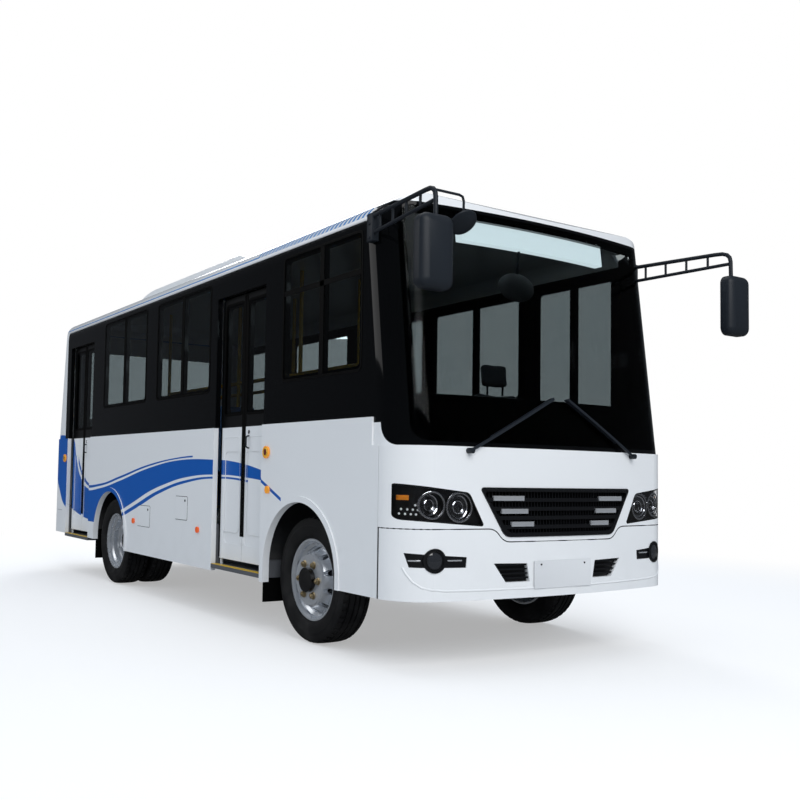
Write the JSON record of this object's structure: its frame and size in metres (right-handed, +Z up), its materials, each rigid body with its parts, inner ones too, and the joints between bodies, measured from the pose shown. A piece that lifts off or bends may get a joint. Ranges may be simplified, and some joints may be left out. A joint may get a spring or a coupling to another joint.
{
  "type": "electric city bus",
  "caption": "Small electric city bus: white body with a black window band, bowed windscreen, two in-swinging double doors on the right, steered front wheels and twin rear wheels.",
  "frame": {"origin": "on the ground under the middle of the bus's overall box, mirrors included", "axes": "+X forward along the bus, +Y to its left, +Z up"},
  "size_m": [6.9588, 2.707, 2.89],
  "materials": {
    "white_paint": "gloss",
    "black_gloss": "gloss",
    "tinted_glass": "gloss",
    "clear_glass": "gloss",
    "frame_black": "satin",
    "floor_vinyl": "matt",
    "red_lens": "gloss",
    "black_plastic": "satin",
    "chrome": "polished",
    "sign_panel": "satin",
    "grey_plastic": "matt",
    "seat_fabric": "woven",
    "seat_plastic": "satin",
    "yellow_paint": "gloss",
    "amber_lens": "gloss",
    "black_rubber": "matt",
    "grey_metal": "satin",
    "cast_black": "rough",
    "wheel_silver": "satin",
    "tyre": "matt"
  },
  "bodies": {
    "bus": {"chassis_frame": "frame_black", "floor": "floor_vinyl", "wheel_houses": "floor_vinyl", "right_side_panel": "white_paint", "left_side_panel": "white_paint", "right_window_band": "black_gloss", "left_window_band": "black_gloss", "side_windows": "tinted_glass", "roof": "white_paint", "roof_pod": "white_paint", "rear_wall": "white_paint", "rear_window": "tinted_glass", "rear_bumper": "white_paint", "tail_lamps": "red_lens", "front_panel": "white_paint", "front_bumper": "white_paint", "front_mask": "black_gloss", "windscreen": "clear_glass", "headlamp_bowls": "black_plastic", "headlamp_reflectors": "chrome", "headlamp_lenses": "clear_glass", "grille": "black_plastic", "grille_inserts": "chrome", "fog_lamps": "black_plastic", "destination_sign": "sign_panel", "wipers": "black_plastic", "mirrors": "black_plastic", "dashboard": "grey_plastic", "steering_wheel": "black_plastic", "driver_seat": "seat_fabric", "passenger_seats": "seat_plastic", "handrails": "yellow_paint", "side_lamps": "amber_lens", "mud_flaps": "black_rubber", "battery_packs": "grey_metal", "drive_motor": "grey_metal", "front_axle": "cast_black", "rear_axle": "cast_black", "leaf_springs": "cast_black"},
    "knuckle_left": {"knuckle_left": "cast_black"},
    "knuckle_right": {"knuckle_right": "cast_black"},
    "tie_rod": {"tie_rod": "cast_black"},
    "front_wheel_left": {"front_rim_left": "wheel_silver", "front_tyre_left": "tyre"},
    "front_wheel_right": {"front_rim_right": "wheel_silver", "front_tyre_right": "tyre"},
    "rear_wheels_left": {"rear_rims_left": "wheel_silver", "rear_tyres_left": "tyre"},
    "rear_wheels_right": {"rear_rims_right": "wheel_silver", "rear_tyres_right": "tyre"},
    "front_door_rear": {"front_door_rear_leaf": "white_paint", "front_door_rear_glass": "tinted_glass"},
    "front_door_front": {"front_door_front_leaf": "white_paint", "front_door_front_glass": "tinted_glass"},
    "rear_door_rear": {"rear_door_rear_leaf": "white_paint", "rear_door_rear_glass": "tinted_glass"},
    "rear_door_front": {"rear_door_front_leaf": "white_paint", "rear_door_front_glass": "tinted_glass"}
  },
  "joints": [
    {"name": "steer_left", "type": "hinge", "parent": "bus", "child": "knuckle_left", "pos_m": [1.925, 0.8, 0.405], "axis": [0, 0, 1], "range_deg": [-35, 35]},
    {"name": "steer_right", "type": "hinge", "parent": "bus", "child": "knuckle_right", "pos_m": [1.925, -0.8, 0.405], "axis": [0, 0, 1], "range_deg": [-35, 35]},
    {"name": "tie_rod_pivot", "type": "hinge", "parent": "knuckle_left", "child": "tie_rod", "pos_m": [1.775, 0.8, 0.31], "axis": [0, 0, 1], "range_deg": [-35, 35]},
    {"name": "front_wheel_left_spin", "type": "hinge", "parent": "knuckle_left", "child": "front_wheel_left", "pos_m": [1.925, 0.921, 0.405], "axis": [0, 1, 0], "continuous": true},
    {"name": "front_wheel_right_spin", "type": "hinge", "parent": "knuckle_right", "child": "front_wheel_right", "pos_m": [1.925, -0.921, 0.405], "axis": [0, 1, 0], "continuous": true},
    {"name": "rear_wheels_left_spin", "type": "hinge", "parent": "bus", "child": "rear_wheels_left", "pos_m": [-1.615, 0.955, 0.405], "axis": [0, 1, 0], "continuous": true},
    {"name": "rear_wheels_right_spin", "type": "hinge", "parent": "bus", "child": "rear_wheels_right", "pos_m": [-1.615, -0.955, 0.405], "axis": [0, 1, 0], "continuous": true},
    {"name": "front_door_swing", "type": "hinge", "parent": "bus", "child": "front_door_rear", "pos_m": [0.674, -1.04, 1.4], "axis": [0, 0, 1], "range_deg": [0, 90]},
    {"name": "front_door_front_swing", "type": "hinge", "parent": "bus", "child": "front_door_front", "pos_m": [1.384, -1.04, 1.4], "axis": [0, 0, -1], "range_deg": [0, 90]},
    {"name": "rear_door_swing", "type": "hinge", "parent": "bus", "child": "rear_door_rear", "pos_m": [-2.984, -1.04, 1.4], "axis": [0, 0, 1], "range_deg": [0, 90]},
    {"name": "rear_door_front_swing", "type": "hinge", "parent": "bus", "child": "rear_door_front", "pos_m": [-2.274, -1.04, 1.4], "axis": [0, 0, -1], "range_deg": [0, 90]}
  ],
  "couplings": [
    {"joint": "steer_right", "follows": "steer_left", "ratio": 1},
    {"joint": "tie_rod_pivot", "follows": "steer_left", "ratio": -1},
    {"joint": "front_door_front_swing", "follows": "front_door_swing", "ratio": 1},
    {"joint": "rear_door_front_swing", "follows": "rear_door_swing", "ratio": 1}
  ]
}
